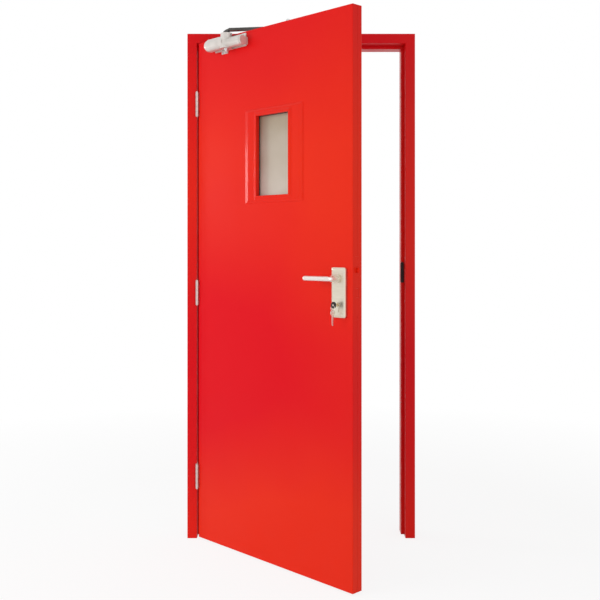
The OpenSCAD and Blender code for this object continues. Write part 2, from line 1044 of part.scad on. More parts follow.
module plate_bolts() {
  color(steel)
    on_leaf()
      for (z = [back_z0 + through_in, back_z1 - through_in])
        difference() {
          union() {
            y_bar(spindle_x, z, through_r, -6, leaf_t + back_t - 2);
            y_bar(spindle_x, z, 2 * through_r, leaf_t + back_t - 2, leaf_t + back_t);
          }
          translate([spindle_x, leaf_t + back_t, z])
            cube([3 * through_r, 2, 0.9], center = true);
        }
}

module key_cylinder() {
  y0 = -back_t - cyl_show;
  color(satin)
    on_leaf()
      difference() {
        cyl_prism(0, y0, mid_y + cam_w / 2 + 6);
        y_bar(spindle_x, cyl_z, plug_r + run_fit, y0 - eps, mid_y + cam_w / 2 + 3);
        box(spindle_x - cyl_r - eps, spindle_x + cyl_r + eps, mid_y - cam_w / 2 - cam_gap,
          mid_y + cam_w / 2 + cam_gap, cyl_z - cyl_slot, cyl_z + cyl_r + eps);
      }
}

module moving_leaf(z) {
  color(satin)
    on_leaf()
      at_hinge(z)
        hinge_plate(1, 1);
}

module top_hinge_moving() {
  moving_leaf(hinge_z[2]);
}

module middle_hinge_moving() {
  moving_leaf(hinge_z[1]);
}

module bottom_hinge_moving() {
  moving_leaf(hinge_z[0]);
}

// A box round the sight, grown by gx to the sides and by gz to the ends
module sight_box(gx, gz, y0, y1) {
  box(sight_x - sight_w / 2 - gx, sight_x + sight_w / 2 + gx, y0, y1, sight_z - sight_h / 2 - gz,
    sight_z + sight_h / 2 + gz);
}

// A bevelled flange over the skin, a raised crown round the sight and a bead that reaches in to the gasket
module trim(bead) {
  difference() {
    union() {
      hull() {
        sight_box(trim_side, trim_end, -trim_foot, 0);
        sight_box(trim_side - trim_bevel, trim_end - end_bevel, -trim_flat, 0);
      }
      hull() {
        sight_box(trim_crown + crown_slope, trim_crown + crown_slope, -trim_flat, 0);
        sight_box(trim_crown, trim_crown, -trim_rise, 0);
      }
      sight_box(bead_w, bead_w, -eps, bead);
    }
    sight_box(0, 0, -trim_rise - eps, bead + eps);
  }
}

module pull_trim() {
  color(red)
    on_leaf()
      trim(pull_bead);
}

// Screw places on the push side, with the leaf's skin at local y = 0 and the leaf towards -y
module trim_screw_places() {
  x = sight_w / 2 + (trim_crown + crown_slope + trim_side - trim_bevel) / 2;
  for (s = [-1, 1])
    for (t = [-1, 0, 1])
      translate([sight_x + s * x, leaf_t, sight_z + t * (sight_h / 2 - glass_lap)])
        children();
}

module push_trim() {
  color(red)
    on_leaf()
      difference() {
        push_side()
          trim(push_bead);
        trim_screw_places()
          y_bar(0, 0, trim_screw_r + run_fit, -eps, trim_rise);
      }
}

module trim_screws() {
  color(steel)
    on_leaf()
      trim_screw_places()
        difference() {
          union() {
            y_bar(0, 0, trim_screw_r, -trim_screw_len, trim_flat);
            y_bar(0, 0, 2 * trim_screw_r, trim_flat, trim_flat + trim_head_h);
          }
          translate([0, trim_flat + trim_head_h, 0])
            cube([3 * trim_screw_r, trim_head_h, trim_slot], center = true);
        }
}

module glass_pane() {
  color([0.82, 0.8, 0.7, 0.5])
    on_leaf()
      sight_box(glass_lap, glass_lap, glass_in, glass_in + glass_t);
}

module gasket(bead) {
  difference() {
    sight_box(bead_w, bead_w, bead, bead + gasket_t);
    sight_box(-gasket_show, -gasket_show, bead - eps, bead + gasket_t + eps);
  }
}

module glazing_gaskets() {
  color(dark)
    on_leaf() {
      gasket(pull_bead);
      push_side()
        gasket(push_bead);
    }
}

// Closer body on the leaf

module closer_body() {
  color(steel)
    on_leaf()
      difference() {
        union() {
          x_bar(b_y, closer_z, tube_r, tube_x, b_x);
          x_bar(b_y, nose_z, nose_r, b_x, nose_x);
          translate([b_x, b_y, body_low])
            cylinder(r = boss_r, h = body_top - body_low);
          box(tube_x, b_x, b_y, 0, closer_z - tube_r + tube_web, closer_z + tube_r - tube_web);
          box(b_x, nose_x, b_y, 0, nose_z - nose_r + nose_web, nose_top - nose_web);
          box(tube_x, base_x, -closer_base_t, 0, body_low + eps, nose_top - eps);
          box(lug_x - lug_len, lug_x, -closer_base_t, 0, body_low - flange_w, body_low + 2 * eps);
          box(b_x + boss_r, base_x, -closer_base_t, 0, nose_top - 2 * eps, nose_top + flange_w);
        }
        translate([b_x, b_y, body_low - eps])
          cylinder(r = pinion_r + run_fit, h = body_top - body_low + 2 * eps);
        closer_screw_places()
          screw(run_fit, closer_screw_len + eps);
      }
}

// A rounded cap closes the tube and a flat one the slim end
module closer_caps() {
  dome_r = tube_r - dome_step;
  color(satin)
    on_leaf() {
      translate([tube_x, b_y, closer_z])
        rotate([0, -90, 0])
          rotate_extrude()
            polygon(concat([[0, 0]], [for (a = [0 : dome_turn / 8 : dome_turn])
              [dome_r * cos(a), tube_cap * sin(a) / sin(dome_turn)]], [[0, tube_cap]]));
      translate([nose_x, b_y, nose_z])
        rotate([0, 90, 0])
          rotate_extrude()
            polygon([[0, 0], [nose_r - dome_step, 0], [nose_r - dome_step, nose_cap / 2],
              [nose_r - 4 * dome_step, nose_cap], [0, nose_cap]]);
    }
}

module closer_screws() {
  color(steel)
    on_leaf()
      closer_screw_places()
        cross_screw(closer_screw_len);
}

// Levers, lock works and keys

module lever() {
  bend_y = -lever_out + elbow_r;
  difference() {
    union() {
      y_bar(spindle_x, spindle_z, neck_r, bend_y - eps, -lever_foot);
      translate([spindle_x - elbow_r, bend_y, spindle_z])
        mirror([0, 1, 0])
          rotate_extrude(angle = 90)
            translate([elbow_r, 0])
              circle(r = grip_r);
      x_bar(-lever_out, spindle_z, grip_r, spindle_x - lever_len + grip_r, spindle_x - elbow_r);
      translate([spindle_x - lever_len + grip_r, -lever_out, spindle_z])
        sphere(r = grip_r);
    }
    box(spindle_x - spindle_s / 2 - spindle_fit, spindle_x + spindle_s / 2 + spindle_fit,
      -back_t - spindle_reach, eps, spindle_z - spindle_s / 2 - spindle_fit,
      spindle_z + spindle_s / 2 + spindle_fit);
  }
}

module pull_lever() {
  color(satin)
    on_leaf()
      lever();
}

module push_lever() {
  color(satin)
    on_leaf()
      push_side()
        lever();
}

module spindle() {
  color(steel)
    on_leaf()
      box(spindle_x - spindle_s / 2, spindle_x + spindle_s / 2, -back_t - 12, leaf_t + back_t + 12,
        spindle_z - spindle_s / 2, spindle_z + spindle_s / 2);
}

module follower() {
  inner = case_t / 2 - case_wall - 0.4;
  color(satin)
    on_leaf()
      difference() {
        union() {
          y_bar(spindle_x, spindle_z, hub_r, mid_y - case_t / 2, mid_y + case_t / 2);
          y_bar(spindle_x, spindle_z, follower_r, mid_y - inner, mid_y + inner);
          box(spindle_x - follower_lug, spindle_x, mid_y - inner, mid_y + inner, spindle_z - lug_half,
            spindle_z + lug_half);
        }
        box(spindle_x - spindle_s / 2 - spindle_fit, spindle_x + spindle_s / 2 + spindle_fit, 0, leaf_t,
          spindle_z - spindle_s / 2 - spindle_fit, spindle_z + spindle_s / 2 + spindle_fit);
      }
}

// The bevel of the latch faces the stop, so that closing the leaf pushes the latch in
module latch_bolt() {
  x0 = leaf_x1 - latch_tail;
  x1 = leaf_x1 + latch_out;
  color(red)
    on_leaf()
      translate([0, 0, latch_z - latch_h / 2])
        linear_extrude(latch_h)
          polygon([[x0, mid_y - latch_t / 2], [x1, mid_y - latch_t / 2], [x1, mid_y - latch_t / 2 + 2],
            [leaf_x1 + 1, mid_y + latch_t / 2], [x0, mid_y + latch_t / 2]]);
}

module dead_bolt() {
  color(red)
    on_leaf()
      box(leaf_x1 - bolt_tail, leaf_x1, mid_y - bolt_t / 2, mid_y + bolt_t / 2, bolt_z - bolt_h / 2,
        bolt_z + bolt_h / 2);
}

module cylinder_plug() {
  color(satin)
    on_leaf()
      difference() {
        union() {
          y_bar(spindle_x, cyl_z, plug_r, key_face_y, mid_y + cam_w / 2);
          y_bar(spindle_x, cyl_z, cyl_r - 0.3, mid_y - cam_w / 2, mid_y + cam_w / 2);
          box(spindle_x - lug_half, spindle_x + lug_half, mid_y - cam_w / 2, mid_y + cam_w / 2, cyl_z,
            cyl_z + cam_lobe - 0.6);
        }
        box(spindle_x - key_t / 2 - seat_fit, spindle_x + key_t / 2 + seat_fit, key_face_y - eps,
          key_face_y + key_deep, cyl_z - key_blade / 2 - seat_fit, cyl_z + key_blade / 2 + seat_fit);
      }
}

// A flat key in its YZ plane: bow centre at (y, z), blade towards +Y when turn is 0, down when turn is 90
module flat_key(y, z, turn, blade) {
  hole = bow_r - 7;
  translate([spindle_x - key_t / 2, y, z])
    rotate([turn, 0, 0])
      rotate([90, 0, 90])
        linear_extrude(key_t)
          difference() {
            union() {
              circle(r = bow_r);
              polygon([[0, -key_blade / 2], [blade - 5, -key_blade / 2], [blade, -1.5], [blade, 1],
                [blade - 4, key_blade / 2], [blade - 7, key_blade / 2 - 2.4],
                [blade - 10, key_blade / 2 - 0.8], [blade - 13, key_blade / 2 - 2.8],
                [blade - 17, key_blade / 2], [0, key_blade / 2]]);
            }
            translate([-hole, 0])
              circle(r = bow_hole);
          }
}

module door_key() {
  color(steel)
    on_leaf()
      flat_key(bow_y, cyl_z, 0, key_face_y + key_deep - 2 - bow_y);
}

module key_ring() {
  color(steel)
    on_leaf()
      translate([spindle_x, hole_y, cyl_z - ring_top - ring_r])
        rotate([90, 0, 0])
          rotate_extrude()
            translate([ring_r, 0])
              circle(r = ring_wire);
}

module spare_key() {
  color(steel)
    on_leaf()
      flat_key(hole_y, spare_hole_z - bow_r + 7, -90, bow_r + spare_len);
}

// Closer arms. Hinge axis, pinion, elbow and shoe pivot are the corners of a parallelogram, so the main arm
// keeps its direction while the forearm turns with the leaf.

// Space over the arm's hub, which slopes down away from the arm
module over_hub() {
  rise = arm_t + arm_hub_drop - slope_rim;
  translate([-arm_hub_r, 0, slope_rim - arm_hub_drop])
    rotate([0, -atan2(rise, arm_hub_r + slope_run), 0])
      box(-arm_hub_r, 3 * arm_hub_r, -2 * arm_hub_r, 2 * arm_hub_r, 0, 3 * arm_hub_r);
}

module closer_arm() {
  color(steel)
    translate([open_bx, open_by, arm_z])
      rotate([0, 0, arm_turn])
        difference() {
          union() {
            translate([0, 0, -arm_hub_drop])
              cylinder(r = arm_hub_r, h = arm_t + arm_hub_drop);
            linear_extrude(arm_t)
              polygon([[0, -arm_w / 2 - 1], [arm_len, -arm_w / 2 + 1], [arm_len, arm_w / 2 - 1],
                [0, arm_w / 2 + 1]]);
            translate([arm_len, 0, 0])
              cylinder(r = arm_end_r, h = arm_t);
          }
          translate([0, 0, -arm_hub_drop - eps])
            cylinder(r = pinion_r, h = arm_t + arm_hub_drop + 2 * eps);
          translate([arm_len, 0, -eps])
            cylinder(r = stud_r, h = arm_t + 2 * eps);
          over_hub();
        }
}

module closer_pinion() {
  foot_z = body_low - pinion_clear;
  color(satin)
    translate([open_bx, open_by, 0]) {
      difference() {
        translate([0, 0, foot_z])
          cylinder(r = pinion_r, h = arm_z + arm_t - foot_z);
        translate([0, 0, arm_z])
          rotate([0, 0, arm_turn])
            over_hub();
      }
      translate([0, 0, foot_z - foot_h[0]])
        cylinder(r1 = foot_r[1], r2 = foot_r[0], h = foot_h[0]);
      translate([0, 0, foot_z - foot_h[0] - foot_h[1]])
        cylinder(r1 = foot_r[3], r2 = foot_r[2], h = foot_h[1]);
    }
}

module elbow_stud() {
  color(satin)
    translate([elbow_x, elbow_y, 0]) {
      translate([0, 0, arm_z - 3])
        cylinder(r = arm_end_r - 2, h = 3);
      translate([0, 0, arm_z])
        cylinder(r = stud_r, h = fore_z + fore_t + 1 - arm_z);
      translate([0, 0, arm_z + arm_t])
        cylinder(r = arm_end_r - 2, h = fore_z - 0.4 - arm_z - arm_t);
      translate([0, 0, fore_z + fore_t + 0.4])
        cylinder(r = cap_r, h = cap_h - cap_rim);
      translate([0, 0, fore_z + fore_t + 0.4 + cap_h - cap_rim])
        cylinder(r1 = cap_r, r2 = cap_r - cap_rim, h = cap_rim);
    }
}

module on_forearm() {
  translate([d_x, d_y, 0])
    rotate([0, 0, fore_turn])
      children();
}

module forearm_socket() {
  mid_z = fore_z + fore_t / 2;
  color(steel)
    on_forearm()
      difference() {
        union() {
          translate([0, 0, fore_z])
            cylinder(r = arm_end_r, h = fore_t);
          box(0, fore_flat, -fore_half, fore_half, fore_z, fore_z + fore_t);
          x_bar(0, mid_z, socket_r, fore_neck, fore_len / 2);
        }
        translate([0, 0, fore_z - eps])
          cylinder(r = shoe_pin_r + run_fit, h = fore_t + 2 * eps);
        x_bar(0, mid_z, rod_r, fore_len / 2 - socket_bore, fore_len / 2 + eps);
      }
}

module forearm_rod() {
  mid_z = fore_z + fore_t / 2;
  color(satin)
    on_forearm()
      difference() {
        union() {
          x_bar(0, mid_z, rod_r, fore_len / 2 - rod_in, fore_len - fore_neck);
          box(fore_len - fore_flat, fore_len, -fore_half, fore_half, fore_z, fore_z + fore_t);
          translate([fore_len, 0, fore_z])
            cylinder(r = arm_end_r, h = fore_t);
        }
        translate([fore_len, 0, fore_z - eps])
          cylinder(r = stud_r + run_fit, h = fore_t + 2 * eps);
      }
}

module forearm_nut() {
  mid_z = fore_z + fore_t / 2;
  color(satin)
    on_forearm()
      difference() {
        translate([fore_len / 2, 0, mid_z])
          rotate([0, 90, 0])
            rotate(30)
              cylinder(r = socket_r + 0.4, h = 7, $fn = 6);
        x_bar(0, mid_z, rod_r, fore_len / 2 - eps, fore_len / 2 + 8);
      }
}

hinge_jamb();
lock_jamb();
head_jamb();
wall_anchors();
jamb_hinge_backers();
strike_plate();
strike_box();
latch_buffer();
frame_screws();
top_hinge_fixed();
middle_hinge_fixed();
bottom_hinge_fixed();
hinge_pins();
closer_shoe();
shoe_pin();
pull_skin();
push_skin();
leaf_core();
hinge_stile();
lock_stile();
top_channel();
bottom_channel();
leaf_hinge_backers();
closer_backer();
lock_case();
lock_forend();
forend_screws();
leaf_screws();
pull_backplate();
push_backplate();
plate_bolts();
key_cylinder();
top_hinge_moving();
middle_hinge_moving();
bottom_hinge_moving();
pull_trim();
push_trim();
glass_pane();
glazing_gaskets();
trim_screws();
closer_body();
closer_caps();
closer_screws();
pull_lever();
push_lever();
spindle();
follower();
latch_bolt();
dead_bolt();
cylinder_plug();
door_key();
key_ring();
spare_key();
closer_arm();
closer_pinion();
elbow_stud();
forearm_socket();
forearm_rod();
forearm_nut();
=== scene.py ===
"""Looks of a red steel fire door set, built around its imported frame.

Metres, in the frame's own axes: X across the doorway, Y into the wall, Z up from the floor.
"""
import json
import math

import bmesh
import bpy
from mathutils import Matrix, Vector


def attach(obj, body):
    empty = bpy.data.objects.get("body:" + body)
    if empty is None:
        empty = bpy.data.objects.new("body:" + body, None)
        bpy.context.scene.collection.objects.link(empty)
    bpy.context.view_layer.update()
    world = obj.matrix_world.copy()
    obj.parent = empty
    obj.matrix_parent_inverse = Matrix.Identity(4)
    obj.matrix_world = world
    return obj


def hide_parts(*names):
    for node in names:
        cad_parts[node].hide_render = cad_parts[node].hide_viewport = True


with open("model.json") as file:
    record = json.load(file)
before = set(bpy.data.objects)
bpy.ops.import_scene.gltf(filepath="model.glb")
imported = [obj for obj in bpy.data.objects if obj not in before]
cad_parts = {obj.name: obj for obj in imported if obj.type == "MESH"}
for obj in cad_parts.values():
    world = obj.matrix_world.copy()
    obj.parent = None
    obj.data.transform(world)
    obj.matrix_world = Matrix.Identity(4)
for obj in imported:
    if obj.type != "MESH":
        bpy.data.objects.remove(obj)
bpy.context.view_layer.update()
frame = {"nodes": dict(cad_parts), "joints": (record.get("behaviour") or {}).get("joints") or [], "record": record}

MM = 0.001
BODIES = frame["record"]["behaviour"]["bodies"]
BODY_OF = {node: body for body, nodes in BODIES.items() for node in nodes}
SLOT_OF = {part["node"]: part["material_slot"] for part in frame["record"]["subparts"]}
DOOR_SWING = next(joint for joint in frame["joints"] if joint["name"] == "door_swing")

# The leaf stands open by this angle at rest, turned about the hinge pins
OPEN_ANGLE = math.radians(-DOOR_SWING["range_deg"][0])
HINGE_AXIS = Matrix.Translation(DOOR_SWING["pos_m"])
SWING = HINGE_AXIS @ Matrix.Rotation(-OPEN_ANGLE, 4, "Z") @ HINGE_AXIS.inverted()

# Cover on the bow of the key in the lock, in mm with the leaf closed
BOW_CENTRE = (371.0, -33.0, 1009.0)
COVER_RADIUS = 11.7
COVER_HOLE_RADIUS = 4.2
COVER_HOLE_BACK = 4.0
COVER_THICKNESS = 5.6
COVER_EDGE = 1.2
COVER_FACETS = 40
COVER_EDGE_STEPS = 3

# Camera fitted to the corners of frame and leaf
PICTURE_SIZE = 600
FOCAL_PIXELS = 889
HORIZON_PIXEL = 247
SENSOR_MM = 36.0
EYE = Vector((-0.005, -3.700, 1.212))

# Light. The key lamp isn't mirrored, so that its image doesn't burn out the metal.
LAMPS = (
    dict(name="key", place=(-3.5, -1.9, 1.7), aim=(-0.1, -0.3, 1.0), size=2.2, power=60.0, mirrored=False),
    dict(name="fill", place=(2.2, -4.0, 1.6), aim=(0.0, -0.2, 1.0), size=2.4, power=30.0, mirrored=True),
    dict(name="rim", place=(-2.45, 0.98, 1.63), aim=(-0.24, -0.2, 1.5), size=0.52, power=7.0, mirrored=True),
)
WORLD_LIGHT = 0.55
WHITE = (1.0, 1.0, 1.0, 1.0)
FLOOR_COLOUR = (0.92, 0.92, 0.92, 1.0)
FLOOR_SIZE = 24.0
FLOOR_SHOWS_SHADOW = 0.14
FLOOR_SHADOW_REACH = (1.3, 3.2)


# Node helpers

UNIT = (0.0, 1.0)
# Places of the mix node's colour sockets, whose names it uses more than once
MIX_SHARE, MIX_FIRST, MIX_SECOND, MIX_RESULT = 0, 6, 7, 2


def add(tree, kind, **settings):
    """A new node with its settings."""
    node = tree.nodes.new(kind)
    for key, value in settings.items():
        setattr(node, key, value)
    return node


def feed(tree, socket, value):
    """Links a socket to another, or sets it to a plain value."""
    if isinstance(value, bpy.types.NodeSocket):
        tree.links.new(value, socket)
    else:
        socket.default_value = value


def noise(tree, vector, scale, detail, roughness=0.5):
    node = add(tree, "ShaderNodeTexNoise")
    feed(tree, node.inputs["Vector"], vector)
    feed(tree, node.inputs["Scale"], scale)
    node.inputs["Detail"].default_value = detail
    node.inputs["Roughness"].default_value = roughness
    return node.outputs["Fac"]


def calculate(tree, operation, first, second=0.0):
    node = add(tree, "ShaderNodeMath", operation=operation)
    feed(tree, node.inputs[0], first)
    feed(tree, node.inputs[1], second)
    return node.outputs["Value"]


def remap(tree, value, given, wanted=UNIT):
    """A value in the given range, spread over the wanted range and held at its ends."""
    node = add(tree, "ShaderNodeMapRange", clamp=True)
    feed(tree, node.inputs["Value"], value)
    for name, number in zip(("From Min", "From Max", "To Min", "To Max"), (*given, *wanted)):
        node.inputs[name].default_value = number
    return node.outputs["Result"]


def mix_colour(tree, share, first, second):
    """Two plain colours, each given as red, green and blue, mixed by a mask."""
    node = add(tree, "ShaderNodeMix", data_type="RGBA")
    feed(tree, node.inputs[MIX_SHARE], share)
    node.inputs[MIX_FIRST].default_value = (*first, 1.0)
    node.inputs[MIX_SECOND].default_value = (*second, 1.0)
    return node.outputs[MIX_RESULT]


def axes_of(tree, vector):
    node = add(tree, "ShaderNodeSeparateXYZ")
    feed(tree, node.inputs[0], vector)
    return node.outputs


def shader_group(name, values, outputs):
    """A shader node group that takes coordinates and named values; returns it with its inner sockets."""
    group = bpy.data.node_groups.new(name, "ShaderNodeTree")
    group.interface.new_socket("Coordinates", in_out="INPUT", socket_type="NodeSocketVector")
    for socket, value in values.items():
        made = group.interface.new_socket(socket, in_out="INPUT", socket_type="NodeSocketFloat")
        made.default_value = value
    for socket in outputs:
        group.interface.new_socket(socket, in_out="OUTPUT", socket_type="NodeSocketFloat")
    return group, add(group, "NodeGroupInput").outputs, add(group, "NodeGroupOutput").inputs


# Effects that several finishes share. Each spread is the range in which most of its noise lies.

PEEL_SHARE = 0.12
SHEET_WAVE_SCALE = 4.5
TONE_SPREAD = (0.36, 0.64)
TONE_RANGE = (-0.5, 0.5)
DULL_SCALE, DULL_SPREAD = 9.0, (0.35, 0.7)

SCRATCH_STRETCH = (0.04, 1.0, 1.0)
SCRATCH_SPREAD = (0.3, 0.7)
SMUDGE_SCALE, SMUDGE_SPREAD = 38.0, (0.38, 0.66)

ZINC_GRIT_SCALE = 700.0

MOULD_PATCH_SCALE, MOULD_SPREAD = 24.0, (0.7, 1.3)


def make_powder_coat():
    """Orange peel of a sprayed coat, the slow waves of the sheet under it, a drift of its tone, and painted light.

    The tone drifts at random in patches. Painted light lies over that: level bands of paler scarlet that stand for
    the room's light reflected in the paint, and a painted side light that makes one side paler along X.
    """
    group, given, made = shader_group(
        "powder coat",
        {"Peel Scale": 620.0, "Sheet Wave": 0.6, "Tone Scale": 1.1, "Tone Patches": 1.0, "Tone Passes": 0.0,
         "Pass Height": 1.0, "Painted Band Turn": 4.5, "Tone Lean": 0.0},
        ["Height", "Tone", "Dullness"])
    where = given["Coordinates"]
    peel = calculate(group, "MULTIPLY", noise(group, where, given["Peel Scale"], detail=1.0), PEEL_SHARE)
    wave = calculate(group, "MULTIPLY", noise(group, where, SHEET_WAVE_SCALE, detail=1.0),
                     given["Sheet Wave"])
    feed(group, made["Height"], calculate(group, "ADD", peel, wave))

    drift = remap(group, noise(group, where, given["Tone Scale"], detail=2.0, roughness=0.45),
                  TONE_SPREAD, TONE_RANGE)
    patches = calculate(group, "MULTIPLY", drift, given["Tone Patches"])
    axes = axes_of(group, where)
    # Painted reflection: level bands, palest at the band height and repeating up the door, stand for the room's
    # light reflected in the semi-gloss paint.
    over = calculate(group, "SUBTRACT", axes["Z"], given["Pass Height"])
    turn = calculate(group, "MULTIPLY", over, given["Painted Band Turn"])
    painted_bands = calculate(group, "MULTIPLY", calculate(group, "COSINE", turn), given["Tone Passes"])
    # Painted side light: the tone grows paler and more orange along X, towards the side that is lit more.
    painted_side_light = calculate(group, "MULTIPLY", axes["X"], given["Tone Lean"])
    level = calculate(group, "ADD", calculate(group, "ADD", patches, painted_bands), painted_side_light)
    feed(group, made["Tone"], remap(group, level, TONE_RANGE))
    feed(group, made["Dullness"], remap(group, noise(group, where, DULL_SCALE, detail=4.0), DULL_SPREAD))
    return group


def make_brushed_grain():
    """Fine scratches along the first axis, with the cloudy patches that hands leave."""
    group, given, made = shader_group("brushed grain", {"Fineness": 900.0}, ["Height", "Streak", "Smudge"])
    where = given["Coordinates"]
    along = add(group, "ShaderNodeVectorMath", operation="MULTIPLY")
    feed(group, along.inputs[0], where)
    along.inputs[1].default_value = SCRATCH_STRETCH
    scratch = noise(group, along.outputs["Vector"], given["Fineness"], detail=3.0, roughness=0.6)
    feed(group, made["Height"], scratch)
    feed(group, made["Streak"], remap(group, scratch, SCRATCH_SPREAD))
    feed(group, made["Smudge"], remap(group, noise(group, where, SMUDGE_SCALE, detail=3.0), SMUDGE_SPREAD))
    return group


def make_zinc_spangle():
    """Crystal patches of a zinc coat."""
    group, given, made = shader_group("zinc spangle", {"Crystal Scale": 160.0}, ["Shade", "Height"])
    where = given["Coordinates"]
    crystals = add(group, "ShaderNodeTexVoronoi")
    feed(group, crystals.inputs["Vector"], where)
    feed(group, crystals.inputs["Scale"], given["Crystal Scale"])
    grey = add(group, "ShaderNodeSeparateColor")
    feed(group, grey.inputs["Color"], crystals.outputs["Color"])
    feed(group, made["Shade"], grey.outputs["Red"])
    feed(group, made["Height"], noise(group, where, ZINC_GRIT_SCALE, detail=2.0))
    return group


def make_moulded_speckle():
    """Fine grain of moulded rubber, plastic or pressed board."""
    group, given, made = shader_group("moulded speckle", {"Grain Scale": 900.0}, ["Shade", "Height"])
    where = given["Coordinates"]
    grain = noise(group, where, given["Grain Scale"], detail=3.0, roughness=0.65)
    patch = noise(group, where, MOULD_PATCH_SCALE, detail=3.0)
    feed(group, made["Height"], grain)
    feed(group, made["Shade"], remap(group, calculate(group, "ADD", grain, patch), MOULD_SPREAD))
    return group


POWDER_COAT = make_powder_coat()
BRUSHED_GRAIN = make_brushed_grain()
ZINC_SPANGLE = make_zinc_spangle()
MOULDED_SPECKLE = make_moulded_speckle()


# Finishes. Each roughness is the range between the shiniest and the dullest spots.

PAINT_SHEEN = 0.11
GLASS_INDEX = 1.5
GLASS_CLEARNESS = 0.6
# The pane pales from its head down to its foot, between these heights over the floor: a painted reflection
GLASS_PAINTED_REFLECTION_HEIGHTS = (1.70, 1.42)
GLASS_PAINTED_REFLECTION_SHARE = (0.1, 0.9)
GLASS_CLOUD_SCALE, GLASS_CLOUD_SPREAD, GLASS_CLOUD = 7.0, (0.35, 0.65), (-0.15, 0.15)
GLASS_RIPPLE_SCALE = 28.0


def start_material(name, turned):
    """A material with its shader and its coordinates; turned lines them up with the open leaf."""
    material = bpy.data.materials.new(name)
    material.use_nodes = True
    tree = material.node_tree
    where = add(tree, "ShaderNodeTexCoord").outputs["Object"]
    if turned:
        mapping = add(tree, "ShaderNodeMapping")
        mapping.inputs["Rotation"].default_value = (0.0, 0.0, OPEN_ANGLE)
        feed(tree, mapping.inputs["Vector"], where)
        where = mapping.outputs["Vector"]
    return material, tree, tree.nodes["Principled BSDF"].inputs, where


def place_effect(tree, effect, where, **values):
    node = add(tree, "ShaderNodeGroup", node_tree=effect)
    feed(tree, node.inputs["Coordinates"], where)
    for key, value in values.items():
        node.inputs[key.replace("_", " ")].default_value = value
    return node.outputs


def bump(tree, shader, height, depth, strength):
    node = add(tree, "ShaderNodeBump")
    node.inputs["Strength"].default_value = strength
    node.inputs["Distance"].default_value = depth
    feed(tree, node.inputs["Height"], height)
    feed(tree, shader["Normal"], node.outputs["Normal"])


def colour_and_sheen(tree, shader, shade, deep, pale, dullness, roughness):
    """Base colour between deep and pale by one mask, and roughness over its range by another."""
    feed(tree, shader["Base Color"], mix_colour(tree, shade, deep, pale))
    feed(tree, shader["Roughness"], remap(tree, dullness, UNIT, roughness))


def red_paint(name, crimson, scarlet, roughness, peel, turned, painted_side_light):
    """Semi-gloss red powder coat that drifts at random between two close reds, with painted reflection bands and a
    painted side light over the drift.
    """
    material, tree, shader, where = start_material(name, turned)
    coat = place_effect(tree, POWDER_COAT, where, Tone_Patches=0.6, Tone_Passes=0.45, Pass_Height=1.42,
                        Tone_Lean=painted_side_light)
    colour_and_sheen(tree, shader, coat["Tone"], crimson, scarlet, coat["Dullness"], roughness)
    shader["Specular IOR Level"].default_value = PAINT_SHEEN
    bump(tree, shader, coat["Height"], depth=0.9 * MM, strength=peel)
    return material


def brushed_metal(name, pale, deep, roughness, turned=True):
    material, tree, shader, where = start_material(name, turned)
    grain = place_effect(tree, BRUSHED_GRAIN, where)
    colour_and_sheen(tree, shader, grain["Streak"], deep, pale, grain["Smudge"], roughness)
    shader["Metallic"].default_value = 1.0
    bump(tree, shader, grain["Height"], depth=0.06 * MM, strength=0.5)
    return material


def zinc_metal(name, pale, deep, roughness, crystal_scale):
    material, tree, shader, where = start_material(name, turned=False)
    zinc = place_effect(tree, ZINC_SPANGLE, where, Crystal_Scale=crystal_scale)
    colour_and_sheen(tree, shader, zinc["Shade"], deep, pale, zinc["Shade"], roughness)
    shader["Metallic"].default_value = 1.0
    bump(tree, shader, zinc["Height"], depth=0.08 * MM, strength=0.5)
    return material


def sprayed_metal(name, pale, deep, roughness, metallic):
    """Metallic paint on the closer and its arms."""
    material, tree, shader, where = start_material(name, turned=True)
    coat = place_effect(tree, POWDER_COAT, where, Peel_Scale=1100.0, Sheet_Wave=0.1, Tone_Scale=14.0)
    colour_and_sheen(tree, shader, coat["Tone"], deep, pale, coat["Dullness"], roughness)
    shader["Metallic"].default_value = metallic
    bump(tree, shader, coat["Height"], depth=0.3 * MM, strength=0.5)
    return material


def moulded(name, pale, deep, roughness, grain_scale):
    material, tree, shader, where = start_material(name, turned=False)
    grain = place_effect(tree, MOULDED_SPECKLE, where, Grain_Scale=grain_scale)
    colour_and_sheen(tree, shader, grain["Shade"], deep, pale, grain["Shade"], roughness)
    bump(tree, shader, grain["Height"], depth=0.15 * MM, strength=0.6)
    return material


def fire_glass(name, clear, pale_cloud_and_reflection, roughness):
    """Warm grey fire-resisting glass with slow ripples and a faint cloud, paler towards its foot by a painted
    reflection.
    """
    material, tree, shader, where = start_material(name, turned=True)
    cloud = remap(tree, noise(tree, where, GLASS_CLOUD_SCALE, detail=3.0), GLASS_CLOUD_SPREAD, GLASS_CLOUD)
    # Painted reflection: the pane grows paler towards its foot.
    painted_reflection = remap(tree, axes_of(tree, where)["Z"], GLASS_PAINTED_REFLECTION_HEIGHTS, GLASS_PAINTED_REFLECTION_SHARE)
    cloud_and_painted_reflection = calculate(tree, "ADD", cloud, painted_reflection)
    colour_and_sheen(tree, shader, cloud_and_painted_reflection, clear, pale_cloud_and_reflection, cloud_and_painted_reflection, roughness)
    shader["Transmission Weight"].default_value = GLASS_CLEARNESS
    shader["IOR"].default_value = GLASS_INDEX
    bump(tree, shader, noise(tree, where, GLASS_RIPPLE_SCALE, detail=1.0), depth=0.4 * MM, strength=0.3)
    return material


# The leaf's paint has a painted side light; the frame's has none.
LEAF_REDS = dict(crimson=(0.72, 0.001, 0.008), scarlet=(0.81, 0.024, 0.006), turned=True, painted_side_light=0.35)
# The frame's reds are the leaf's paint made a little darker: painted shade that offsets the extra lamp light on
# the frame.
FRAME_REDS_PAINTED_DARKER = dict(crimson=(0.69, 0.003, 0.010), scarlet=(0.77, 0.018, 0.009), turned=False, painted_side_light=0.0)

